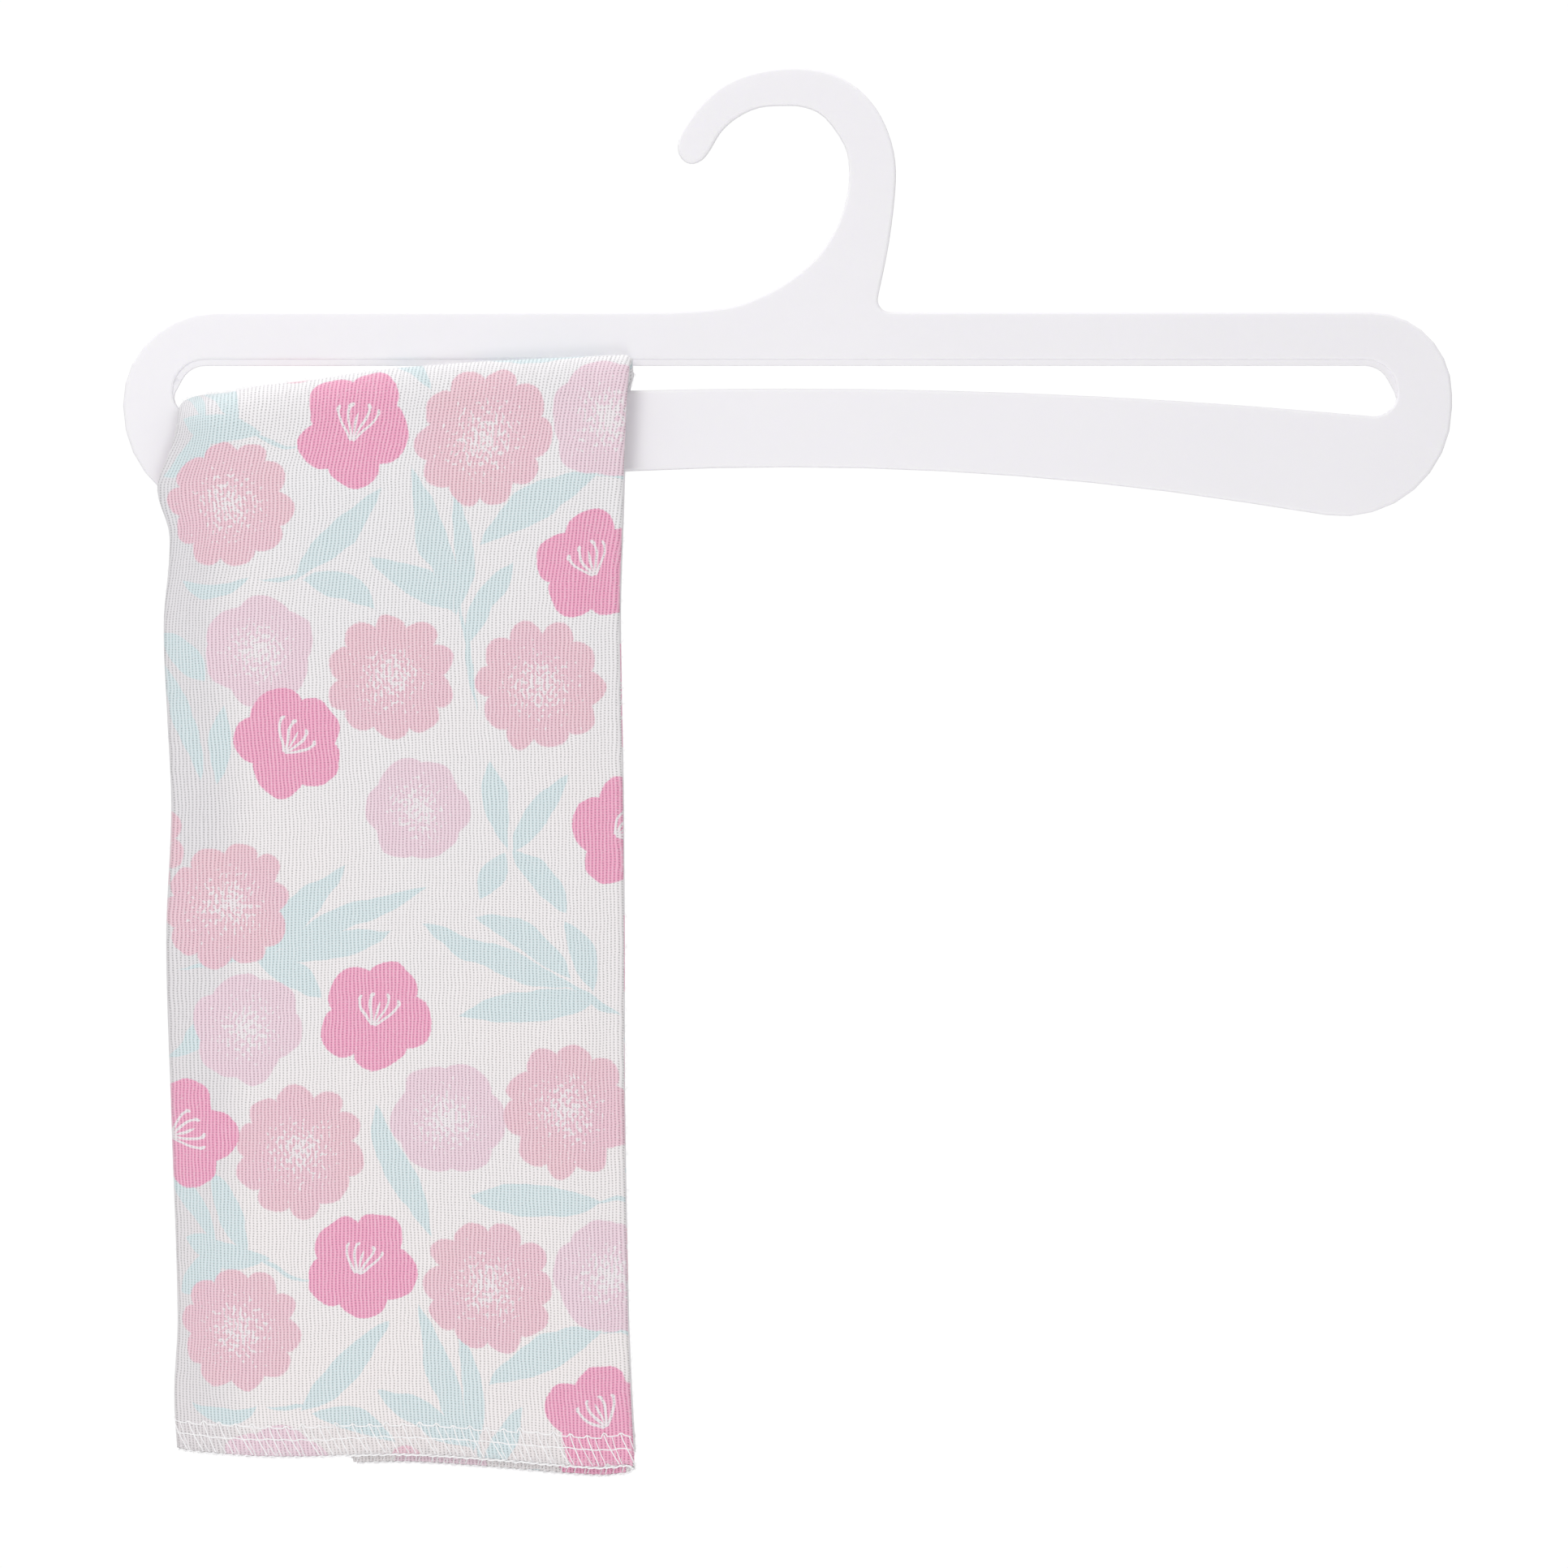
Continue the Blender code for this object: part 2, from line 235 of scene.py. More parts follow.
def fold(u, v):
    """Where a point of the flat cloth lies once it is folded in three and hung over the bar.

    u runs across the cloth from the right flap's free edge, v up from the front hem.
    """
    u, v = np.broadcast_arrays(np.asarray(u, float), np.asarray(v, float))
    panel_share = (LEFT_TURN_FROM - u) / (LEFT_TURN_FROM - RIGHT_TURN_TO)
    turn = bend_turn(v - DROP_LONG, read(LIP, -124 + 91 * np.clip(panel_share, 0, 1), 1) / 4.5)
    front = turn < 0
    side = np.where(front, -1.0, 1.0)
    along = np.where(front, 1 - v / DROP_LONG, (v - DROP_LONG - BEND_LONG) / DROP_LONG)
    bending = (v > DROP_LONG) & (v < DROP_LONG + BEND_LONG)
    along = np.where(bending, 0.0, along)
    depth = np.where(bending, 12 * (np.abs(turn) / (math.pi / 2) - 1), along * 216)

    roll = read(LEFT_ROLL, depth, 1)
    left = read(SIDES, depth, 1) + roll + CLOTH_THICK / 2
    right = read(SIDES, depth, 2) - RIGHT_ROLL - CLOTH_THICK / 2

    right_angle = turn_angle((u - RIGHT_TURN_FROM) / (RIGHT_TURN_TO - RIGHT_TURN_FROM), RIGHT_ROLL, 0.75)
    left_angle = turn_angle((u - LEFT_TURN_FROM) / (LEFT_TURN_TO - LEFT_TURN_FROM), 9.4, 1.5)
    parts = [
        u < RIGHT_TURN_FROM,
        u < RIGHT_TURN_TO,
        u < LEFT_TURN_FROM,
        u < LEFT_TURN_TO,
    ]
    share = np.select(
        parts,
        [RIGHT_FLAP_FROM + (1 - RIGHT_FLAP_FROM) * u / RIGHT_TURN_FROM, 1.0, panel_share, 0.0],
        LEFT_FLAP_TO * (u - LEFT_TURN_TO) / (CLOTH_WIDE - LEFT_TURN_TO),
    )
    shift = np.select(
        parts, [0.0, RIGHT_ROLL * np.sin(right_angle), 0.0, -roll * np.sin(left_angle)], 0.0
    )
    left_reach = np.where(left_angle < math.pi / 2, PANEL - LEFT_MIDDLE, LEFT_MIDDLE - LEFT_FLAP)
    height = np.select(
        parts,
        [
            RIGHT_FLAP,
            (RIGHT_FLAP + PANEL) / 2 - (PANEL - RIGHT_FLAP) / 2 * np.cos(right_angle),
            PANEL,
            LEFT_MIDDLE + left_reach * np.cos(left_angle),
        ],
        LEFT_FLAP,
    )
    below = np.select(
        parts,
        [
            RIGHT_FLAP_BELOW,
            RIGHT_FLAP_BELOW * (1 - right_angle / math.pi),
            0.0,
            LEFT_FLAP_BELOW * left_angle / math.pi,
        ],
        LEFT_FLAP_BELOW,
    )
    outermost = np.select(parts, [0.0, right_angle / math.pi, 1.0, 1 - left_angle / math.pi], 0.0)
    with_lip = np.select(
        parts, [0.9, 0.9 + 0.1 * right_angle / math.pi, 1.0, 1 - left_angle / math.pi], 0.0
    )

    x = left + share * (right - left) + shift
    centre = bar_height(x) + CROWN_GAP - INNER_RADIUS

    # The bend over the bar, with the front rolled up before the upper bar
    lift = np.where(front, with_lip * read(LIP, x, 1) * read(LIP_SHARE, np.degrees(np.abs(turn)), 1), 0.0)
    radius = INNER_RADIUS + height + 0.15 * outermost
    bend_y = radius * np.sin(turn) - 0.07 * lift
    bend_z = centre + radius * np.cos(turn) + lift

    # The hanging halves
    hem = read(HEM, share, 1) - below - np.where(front, 0.0, BACK_BELOW)
    drop_z = centre + along * (hem - centre)
    closing = eased((centre - drop_z - CLOSING_FROM) / (CLOSING_TO - CLOSING_FROM))
    inner = INNER_RADIUS + closing * (HALF_GAP_LOW - INNER_RADIUS)
    swell = np.zeros_like(x)
    for which, middle, level, high, wide, long in SWELLS:
        away = ((share - middle) / wide) ** 2 + ((along - level) / long) ** 2
        swell += np.where(side == which, high * np.exp(-away), 0.0)
    across_in = np.minimum(x - left, 1.6 * (right - x))
    belly = 0.8 * eased(across_in / 14.0) * eased(along * 12)
    relief = creases(side, x, drop_z) + ripple(x, drop_z)
    relief = relief * eased(across_in / 6.0 + 0.2) * eased(along * 9)
    drop_y = side * (inner + height + swell + outermost * (belly + relief + 0.15))
    settling = np.where(front, np.exp(-along * 216 / 6.0), 0.0) * lift
    drop_z = drop_z + settling
    drop_y = drop_y - 0.07 * settling

    y = np.where(bending, bend_y, drop_y)
    z = np.where(bending, bend_z, drop_z)
    return np.stack([x, y, z], -1)


def on_cloth(u, v, proud):
    """A place on or over the cloth's printed face, or under its back where proud is negative."""
    u, v = np.broadcast_arrays(np.asarray(u, float), np.asarray(v, float))
    inside_u, inside_v = np.clip(u, 0.3, CLOTH_WIDE - 0.3), np.clip(v, 0.3, CLOTH_LONG - 0.3)
    across = fold(inside_u + 0.2, inside_v) - fold(inside_u - 0.2, inside_v)
    up = fold(inside_u, inside_v + 0.2) - fold(inside_u, inside_v - 0.2)
    out = np.cross(up, across)
    out /= np.linalg.norm(out, axis=-1, keepdims=True)
    spare_u, spare_v = (u - inside_u)[..., None], (v - inside_v)[..., None]
    beyond = (across * spare_u + up * spare_v) / 0.4
    return fold(inside_u, inside_v) + beyond + out * np.asarray(proud)[..., None]


def clear_selection():
    bpy.ops.object.select_all(action="DESELECT")


def make_current(piece):
    clear_selection()
    piece.select_set(True)
    bpy.context.view_layer.objects.active = piece


def apply_modifiers(piece):
    make_current(piece)
    for modifier in list(piece.modifiers):
        bpy.ops.object.modifier_apply(modifier=modifier.name)


def steps_between(stops):
    """Places along a line, with a step of its own for each stretch."""
    places = [stops[0][0]]
    for (start, step), (end, _) in zip(stops, stops[1:]):
        count = max(1, round((end - start) / step))
        places += [start + (end - start) * (i + 1) / count for i in range(count)]
    return np.array(places)


def make_cloth():
    """The flat cloth is laid out as a grid, folded point by point, and given its thickness."""
    across = steps_between(
        (
            (0, 0.9),
            (2.7, 2.0),
            (RIGHT_TURN_FROM - 1.5, 0.5),
            (RIGHT_TURN_TO + 1.5, 1.7),
            (LEFT_TURN_FROM - 2, 0.75),
            (LEFT_TURN_TO + 1, 2.2),
            (CLOTH_WIDE - 2.7, 0.9),
            (CLOTH_WIDE, 1),
        )
    )
    up = steps_between(
        (
            (0, 0.9),
            (6.3, 2.0),
            (DROP_LONG - 12, 1.0),
            (DROP_LONG + 10, 1.2),
            (DROP_LONG + BEND_LONG + 3, 2.0),
            (CLOTH_LONG - 6.3, 0.9),
            (CLOTH_LONG, 1),
        )
    )
    clear_selection()
    bpy.ops.mesh.primitive_grid_add(
        x_subdivisions=len(across) - 1, y_subdivisions=len(up) - 1, size=1, calc_uvs=False
    )
    cloth = bpy.context.active_object
    cloth.name = cloth.data.name = "folded_flannel"
    mesh = cloth.data
    flat = np.empty(len(mesh.vertices) * 3)
    mesh.vertices.foreach_get("co", flat)
    flat = flat.reshape(-1, 3)
    u = across[np.rint((flat[:, 0] + 0.5) * (len(across) - 1)).astype(int)]
    v = up[np.rint((flat[:, 1] + 0.5) * (len(up) - 1)).astype(int)]
    mesh.vertices.foreach_set("co", (fold(u, v) * MM).ravel())

    laid_flat = mesh.uv_layers.new(name="Cut")
    corners = np.empty(len(mesh.loops), int)
    mesh.loops.foreach_get("vertex_index", corners)
    uv = np.stack([u[corners] / CLOTH_WIDE, v[corners] / CLOTH_LONG], -1)
    laid_flat.data.foreach_set("uv", uv.ravel())
    mesh.update()

    thickness = cloth.modifiers.new("Thickness", "SOLIDIFY")
    thickness.thickness = CLOTH_THICK * MM
    thickness.offset = 0
    thickness.use_even_offset = True
    thickness.use_quality_normals = True
    apply_modifiers(cloth)
    mesh.shade_smooth()
    return cloth


# Overlock stitches, in millimetres
STITCH_PITCH = 3.45
LOOP_IN, NEEDLE_IN = 5.7, 3.3
THREAD, EDGE_THREAD = 0.145, 0.19


class Sewing:
    """Threads laid on the cloth, gathered as runs of points and made into one mesh."""

    def __init__(self):
        self.runs = []

    def lay(self, edge, s, inwards, proud, radius):
        """A thread along one edge of the cloth: places along it, distances in from it."""
        s, inwards = np.asarray(s, float), np.asarray(inwards, float)
        if edge == "front hem":
            points = on_cloth(s, inwards, proud)
        elif edge == "back hem":
            points = on_cloth(s, CLOTH_LONG - inwards, proud)
        elif edge == "right flap side":
            points = on_cloth(inwards, s, proud)
        else:
            points = on_cloth(CLOTH_WIDE - inwards, s, proud)
        self.runs.append((points, radius))

    def made(self, name, rounding=1):
        curve = bpy.data.curves.new(name, "CURVE")
        curve.dimensions = "3D"
        curve.bevel_depth = THREAD * MM
        curve.bevel_resolution = rounding
        curve.use_fill_caps = True
        for points, radius in self.runs:
            spline = curve.splines.new("POLY")
            spline.points.add(len(points) - 1)
            for point, place in zip(spline.points, points):
                point.co = (*(place * MM), 1)
                point.radius = radius / THREAD
        piece = bpy.data.objects.new(name, curve)
        bpy.context.scene.collection.objects.link(piece)
        make_current(piece)
        bpy.ops.object.convert(target="MESH")
        piece = bpy.context.active_object
        piece.data.shade_smooth()
        return piece


def wander(s, seed):
    """A small slow drift, so that no two stitches match."""
    slow, quick = 0.5 * np.sin(s * 0.31 + seed), 0.3 * np.sin(s * 0.83 + 2.1 * seed)
    return slow + quick + 0.2 * np.sin(s * 1.9 + seed)


def overlock(sewing, edge, long, both_faces, way=-1):
    """One edge: a looped line, a needle line, slanted threads, and two twisted along the edge itself."""
    count = int((long - 1.0) / STITCH_PITCH)
    start = (long - count * STITCH_PITCH) / 2
    surface = CLOTH_THICK / 2
    for face in (1, -1) if both_faces else (1,):
        rise = face * (surface + THREAD * 0.35)
        s, inwards, proud = [], [], []
        for k in range(count):
            at = start + k * STITCH_PITCH
            level = LOOP_IN + 0.22 * wander(at, 1.0)
            bump = 0.75 + 0.25 * math.sin(k * 2.4)
            for step, high, over in (
                (0.0, 0.0, 0.0),
                (0.30, 0.02, 0.03),
                (0.62, 0.10, 0.06),
                (0.72, 0.75, 0.12),
                (0.84, 1.0, 0.15),
                (0.93, 0.55, 0.08),
            ):
                s.append(at + step * STITCH_PITCH)
                inwards.append(level + 0.85 * high * bump)
                proud.append(rise + face * over)
        sewing.lay(edge, s, inwards, np.array(proud), THREAD)
        s = start + np.arange(count * 3 + 1) * STITCH_PITCH / 3
        sag = np.where(np.arange(len(s)) % 3 == 0, 0.12, -0.05)
        sewing.lay(edge, s, NEEDLE_IN + 0.18 * wander(s, 3.0) + sag, np.full(len(s), rise), THREAD)
        for k in range(count):
            at = start + k * STITCH_PITCH
            level = LOOP_IN + 0.22 * wander(at, 1.0)
            for offset, top, lean in ((0.84, level + 0.5, 2.5), (0.36, level - 0.1, 2.2)):
                lean = lean + 0.5 * math.sin(k * 1.7 + offset * 9)
                share = np.array([0.0, 0.25, 0.5, 0.75, 0.97])
                path = at + offset * STITCH_PITCH + way * lean * share**1.2
                path = np.clip(path, 0.2, long - 0.2)
                sewing.lay(
                    edge,
                    path,
                    top * (1 - share) - 0.05 * share,
                    rise + face * np.array([0.06, 0.02, 0.06, 0.02, -0.05]),
                    THREAD * (0.95 if offset > 0.5 else 0.7),
                )
    s = start + np.arange(count * 5 + 1) * STITCH_PITCH / 5
    for phase in (0.0, math.pi):
        around = s / STITCH_PITCH * math.tau + phase
        out = 0.22 + 0.10 * wander(s * 2.2, 5.0 + phase)
        sewing.lay(edge, s, -out + 0.2 * np.cos(around), 0.34 * np.sin(around), EDGE_THREAD)


def make_overlock():
    sewing = Sewing()
    overlock(sewing, "front hem", CLOTH_WIDE, True)
    overlock(sewing, "back hem", CLOTH_WIDE, True)
    overlock(sewing, "right flap side", CLOTH_LONG, False)
    overlock(sewing, "left flap side", CLOTH_LONG, False)
    return sewing.made("overlock_thread")


# Nap fibres that stand off the folds and hems, in millimetres
FIBRE, FIBRE_SEGMENTS = 0.024, 2

# Where they stand: count, from and to across the cloth, from and to up it
NAP = (
    (2600, 151.0, 164.0, 1.0, CLOTH_LONG - 1),
    (1300, RIGHT_TURN_FROM, RIGHT_TURN_TO, 1.0, CLOTH_LONG - 1),
    (1300, RIGHT_TURN_TO, LEFT_TURN_FROM, DROP_LONG + 3, DROP_LONG + 16),
    (900, RIGHT_TURN_FROM, LEFT_TURN_TO, 0.2, 1.2),
    (600, RIGHT_TURN_FROM, LEFT_TURN_TO, CLOTH_LONG - 1.2, CLOTH_LONG - 0.2),
)


def make_fuzz():
    """Short fine fibres along the side folds, the top of the bend and the hems."""
    random = np.random.default_rng(7)
    fuzz = Sewing()
    share = np.linspace(0, 1, FIBRE_SEGMENTS + 1)
    for count, u_from, u_to, v_from, v_to in NAP:
        u = random.uniform(u_from, u_to, (count, 1))
        v = random.uniform(v_from, v_to, (count, 1))
        long = random.uniform(0.25, 0.8, (count, 1))
        lean_u, lean_v, curl = random.normal(0, 0.4, (3, count, 1))
        way_u = u + long * (lean_u * share + curl * share**2)
        way_v = v + long * (lean_v * share - curl * share**2)
        fibres = on_cloth(way_u, way_v, CLOTH_THICK / 2 + long * 0.8 * share)
        fuzz.runs += [(points, FIBRE) for points in fibres]
    return fuzz.made("nap_fibres", 0)


# The hanger's ledge round the slot, and the heights between which it fades into the wall
LEDGE, LEDGE_FULL_AT, LEDGE_GONE_AT = 1.2, -56.5, -61.0

# The slot's reach, and half the height of its flat wall between the rounded rims
SLOT_FROM, SLOT_TO, SLOT_LOW, SLOT_HIGH = -126.3, 127.1, -67.5, -52.4
WALL_HALF = 0.7


def make_hanger():
    """The plate keeps its CAD shape; the wall of its slot steps in to a thin ledge."""
    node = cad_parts["hanger"]
    clear_selection()
    node.select_set(True)
    bpy.context.view_layer.objects.active = node
    bpy.ops.object.duplicate()
    plate = bpy.context.active_object
    for key in list(plate.keys()):
        del plate[key]
    plate.name = plate.data.name = "hanger_plate"
    world = plate.matrix_world.copy()
    plate.parent = None
    plate.matrix_world = world
    bpy.ops.object.mode_set(mode="EDIT")
    bpy.ops.mesh.select_mode(type="FACE")
    bpy.ops.mesh.select_all(action="SELECT")
    bpy.ops.mesh.remove_doubles(threshold=0.00001)
    bpy.ops.mesh.select_all(action="DESELECT")
    bpy.ops.object.mode_set(mode="OBJECT")
    for face in plate.data.polygons:
        x, y, z = face.center / MM
        inside = SLOT_FROM < x < SLOT_TO and SLOT_LOW < z < SLOT_HIGH
        wall = abs(face.normal.y) < 0.2 and abs(y) < WALL_HALF
        face.select = inside and wall and face.normal.z < 0.9
    bpy.ops.object.mode_set(mode="EDIT")
    bpy.ops.mesh.extrude_region_shrink_fatten(
        TRANSFORM_OT_shrink_fatten={"value": LEDGE * MM, "use_even_offset": True}
    )
    bpy.ops.object.mode_set(mode="OBJECT")
    vertices = plate.data.vertices
    for edge in plate.data.edges:
        stepped, wall = [vertices[i] for i in edge.vertices]
        if stepped.select == wall.select:
            continue
        if wall.select:
            stepped, wall = wall, stepped
        share = float(eased((wall.co.z / MM - LEDGE_GONE_AT) / (LEDGE_FULL_AT - LEDGE_GONE_AT)))
        stepped.co = wall.co + (stepped.co - wall.co) * max(share, 0.01)
    clear_selection()
    return plate


class Value:
    """A node's output that takes part in sums, as a number does."""

    def __init__(self, finish, socket):
        self.finish, self.socket = finish, socket

    def sum(self, operation, *others):
        return self.finish.node("ShaderNodeMath", {"operation": operation}, (self, *others))

    def __add__(self, other):
        return self.sum("ADD", other)

    __radd__ = __add__

    def __mul__(self, other):
        return self.sum("MULTIPLY", other)

    __rmul__ = __mul__

    def __sub__(self, other):
        return self.sum("SUBTRACT", other)

    def __rsub__(self, other):
        return self.finish.node("ShaderNodeMath", {"operation": "SUBTRACT"}, (other, self))


class Finish:
    """One material's nodes."""

    def __init__(self, name):
        self.material = bpy.data.materials.new(name)
        self.material.use_nodes = True
        self.nodes = self.material.node_tree.nodes
        self.links = self.material.node_tree.links
        self.shader = self.nodes["Principled BSDF"]

    def node(self, kind, settings=None, inputs=(), out=0):
        """A node of this kind: its settings, then its sockets in order or by name; out picks the output."""
        made = self.nodes.new(kind)
        for name, value in (settings or {}).items():
            setattr(made, name, value)
        pairs = inputs.items() if isinstance(inputs, dict) else enumerate(inputs)
        for key, value in pairs:
            if value is not None:
                self.give(made.inputs[key], value)
        return Value(self, made.outputs[out])

    def give(self, socket, value):
        if isinstance(value, Value):
            self.links.new(value.socket, socket)
        elif isinstance(value, tuple) and socket.type == "RGBA":
            socket.default_value = (*value[:3], 1.0)
        else:
            socket.default_value = value

    def vector(self, operation, *values, out=0):
        return self.node("ShaderNodeVectorMath", {"operation": operation}, values, out)

    def length(self, value):
        return self.vector("LENGTH", value, out=1)

    def split(self, value):
        made = self.nodes.new("ShaderNodeSeparateXYZ")
        self.give(made.inputs[0], value)
        return [Value(self, socket) for socket in made.outputs]

    def blend(self, share, first, second):
        """The first colour where share is 0, the second where it is 1."""
        settings = {"data_type": "RGBA", "clamp_factor": True}
        return self.node("ShaderNodeMix", settings, {0: share, 6: first, 7: second}, 2)

    def pick(self, share, first, second):
        """The same for a place."""
        settings = {"data_type": "VECTOR", "clamp_factor": True}
        return self.node("ShaderNodeMix", settings, {0: share, 4: first, 5: second}, 1)

    def step(self, value, start, end):
        """0 before start, 1 past end, eased between; start may be the larger."""
        settings = {"interpolation_type": "SMOOTHSTEP"}
        inputs = {"Value": value, "From Min": start, "From Max": end}
        return self.node("ShaderNodeMapRange", settings, inputs)

    def noise(self, place, scale, detail=2.0, roughness=0.5, out=0):
        inputs = {"Vector": place, "Scale": scale, "Detail": detail, "Roughness": roughness}
        return self.node("ShaderNodeTexNoise", {"noise_dimensions": "3D"}, inputs, out)

    def bump(self, height, distance, strength=1.0, before=None):
        inputs = {"Strength": strength, "Distance": distance, "Height": height, "Normal": before}
        return self.node("ShaderNodeBump", None, inputs)

    def use(self, socket, value):
        self.give(self.shader.inputs[socket], value)


# The print, charted in millimetres as it lies on the front: one repeat is this wide and high
REPEAT_WIDE, REPEAT_HIGH = 118.0, 174.2
REPEAT_FROM_X, REPEAT_FROM_Z = -146.0, -240.0

# Where the chart meets the flat cloth's hem corner, and the front's length as it hangs
PRINT_FROM_X, PRINT_FROM_Z, FRONT_LONG = 30.45, -279.0, 217.0

# Middle x and z, radius, turn in degrees
BLOSSOMS = (
    (-88.0, -65.3, 11.6, 14),
    (-38.9, -95.2, 11.6, -20),
    (-102.5, -129.4, 11.8, 40),
    (-84.8, -187.3, 12.0, 12),
    (-126.0, -211.7, 12.0, 70),
    (-142.5, -98.0, 11.0, 30),
    (-32.4, -149.6, 11.6, 50),
)
DAISIES = (
    (-113.6, -78.4, 13.2, 8),
    (-61.7, -68.9, 13.6, 0),
    (-80.3, -116.8, 13.2, 20),
    (-49.6, -119.3, 13.4, 5),
    (-115.9, -163.0, 13.2, 30),
    (-100.8, -215.0, 13.6, 12),
    (-44.5, -206.6, 13.6, 25),
    (-138.0, -150.0, 13.0, 10),
)
ROUNDS = (
    (-36.4, -66.0, 11.8, 10),
    (-107.2, -109.8, 11.6, 40),
    (-111.7, -189.0, 11.6, 15),
    (-69.7, -209.2, 12.0, 0),
    (-139.5, -70.5, 11.4, 25),
    (-76.0, -144.6, 10.8, 5),
)

# Leaves and stems: one tip, the other, and how far each side bows out to the left of the line between
LEAVES = (
    (-98.6, -67.9, -110.0, -62.6, 0.6, 1.5),
    (-107.5, -63.6, -126.0, -59.8, -2.2, 3.4),
    (-118.6, -59.8, -127.0, -71.0, -1.0, 4.8),
    (-100.6, -95.9, -82.7, -77.3, -3.6, 2.4),
    (-98.3, -96.3, -82.7, -102.8, -0.6, 4.6),
    (-107.4, -94.6, -98.6, -94.6, -0.9, 0.0),
    (-124.0, -93.4, -109.8, -94.4, -4.4, -1.2),
    (-63.2, -124.5, -65.3, -101.0, -0.7, 0.5),
    (-66.6, -103.4, -84.4, -91.6, -3.2, 2.6),
    (-66.3, -104.0, -76.0, -73.6, -2.2, 3.4),
    (-66.0, -104.5, -68.0, -79.8, -4.0, 0.6),
    (-64.6, -110.4, -54.7, -93.4, -2.0, 2.7),
    (-61.6, -89.9, -38.0, -76.7, -2.0, 5.0),
    (-38.6, -76.9, -27.4, -79.6, 0.0, 0.9),
    (-129.5, -104.7, -118.8, -115.2, -2.0, 3.6),
    (-129.0, -111.0, -121.6, -136.4, -1.2, 3.8),
    (-118.3, -137.4, -115.9, -120.8, -2.2, 2.2),
    (-125.3, -176.0, -108.0, -173.0, -1.0, 0.2),
    (-108.7, -174.0, -91.5, -155.6, -2.4, 3.2),
    (-106.4, -172.2, -74.2, -161.2, -2.6, 2.6),
    (-107.0, -172.8, -81.7, -169.6, -4.2, 1.0),
    (-110.7, -172.8, -96.0, -183.0, -2.4, 3.6),
    (-112.2, -177.6, -128.4, -195.4, -1.0, 4.4),
    (-42.0, -181.6, -75.8, -168.2, -1.6, 3.8),
    (-43.4, -179.8, -63.8, -166.8, -4.6, 1.2),
    (-38.0, -183.6, -67.1, -187.9, -3.8, 3.0),
    (-39.3, -181.8, -44.9, -167.7, -3.4, 1.8),
    (-56.4, -153.0, -44.6, -165.6, -2.6, 3.6),
    (-58.2, -153.4, -63.0, -163.4, -2.0, 2.6),
    (-44.5, -180.9, -33.4, -186.4, -0.9, 0.8),
    (-85.6, -206.2, -72.7, -233.2, -3.8, 1.8),
    (-65.2, -225.1, -37.8, -225.1, -3.5, 3.5),
    (-39.8, -225.1, -27.4, -223.4, -0.9, 0.0),
    (-129.5, -219.8, -118.0, -235.4, -1.2, 3.2),
    (-119.2, -219.4, -111.6, -236.4, -2.4, 2.8),
    (-141.0, -176.0, -131.0, -193.0, -2.6, 2.6),
    (-143.0, -118.0, -134.0, -134.0, -2.4, 2.8),
    (-139.0, -222.0, -132.0, -237.0, -2.4, 2.4),
    (-57.4, -152.8, -61.0, -134.6, -2.0, 2.7),
    (-56.2, -153.4, -44.6, -138.4, -2.4, 2.8),
)

# Off-white flannel at the hems and over the bar, painted shade at its left fold, its greyer seam, and its
# raised nap
GROUND_LOW, GROUND_HIGH = (0.885, 0.835, 0.835), (0.845, 0.83, 0.85)
FOLD_SHADE, SEAM_SHADE = (0.56, 0.55, 0.60), (0.62, 0.55, 0.56)
# The raised nap's pale fibres, partly a painted highlight on the rib tops
RAISED_NAP_AND_HIGHLIGHT = (0.95, 0.93, 0.945)

# Printed inks
BLOSSOM_INK = (0.86, 0.33, 0.52)
DAISY_INKS = (0.83, 0.53, 0.59), (0.82, 0.51, 0.62)
ROUND_INK = (0.82, 0.61, 0.70)
LEAF_INK = (0.63, 0.76, 0.79)
WHITE_INK = (0.86, 0.82, 0.84)

# The weave: distance between ribs and between weft threads, in millimetres
RIB_PITCH, WEFT_PITCH = 0.78, 0.53

# The ribs lean to the right from here upwards, over this reach
LEAN_FROM, LEAN_REACH = 140.0, 95.0


def repeats(motif, reach):
    """A motif and its copies wherever it crosses the edge of the repeat."""
    found = []
    for across in (-REPEAT_WIDE, 0, REPEAT_WIDE):
        for up in (-REPEAT_HIGH, 0, REPEAT_HIGH):
            x, z = motif[0] + across, motif[1] + up
            if (
                REPEAT_FROM_X - reach < x < REPEAT_FROM_X + REPEAT_WIDE + reach
                and REPEAT_FROM_Z - reach < z < REPEAT_FROM_Z + REPEAT_HIGH + reach
            ):
                found.append((x, z, *motif[2:]))
    return found


def nearest(finish, place, motifs):
    """The way from the nearest motif's middle, in its own radii, and its turn."""
    best = best_far = None
    for motif in motifs:
        for x, z, radius, turn in repeats(motif, motif[2] + 1):
            away = finish.vector("SUBTRACT", place, (x, z, 0.0))
            far = finish.length(away)
            size = (1 / radius, 1 / radius, 1.0)
            own = finish.vector("MULTIPLY_ADD", away, size, (0.0, 0.0, math.radians(turn)))
            if best is None:
                best, best_far = own, far
                continue
            best = finish.pick(far.sum("LESS_THAN", best_far), best, own)
            best_far = far.sum("MINIMUM", best_far)
    return best


def lobed(finish, place, motifs, lobes, out, lobe, disc):
    """How far outside the nearest flower a place is, and its turned place in that flower."""
    own_x, own_y, turn = finish.split(nearest(finish, place, motifs))
    far = (own_x * own_x + own_y * own_y).sum("SQRT")
    angle = own_y.sum("ARCTAN2", own_x) + turn
    folded = angle.sum("WRAP", math.pi / lobes, -math.pi / lobes)
    along = far * folded.sum("COSINE") - out
    aside = far * folded.sum("SINE")
    petal = (along * along + aside * aside).sum("SQRT") - lobe
    return petal.sum("SMOOTH_MIN", far - disc, 0.02), far, angle


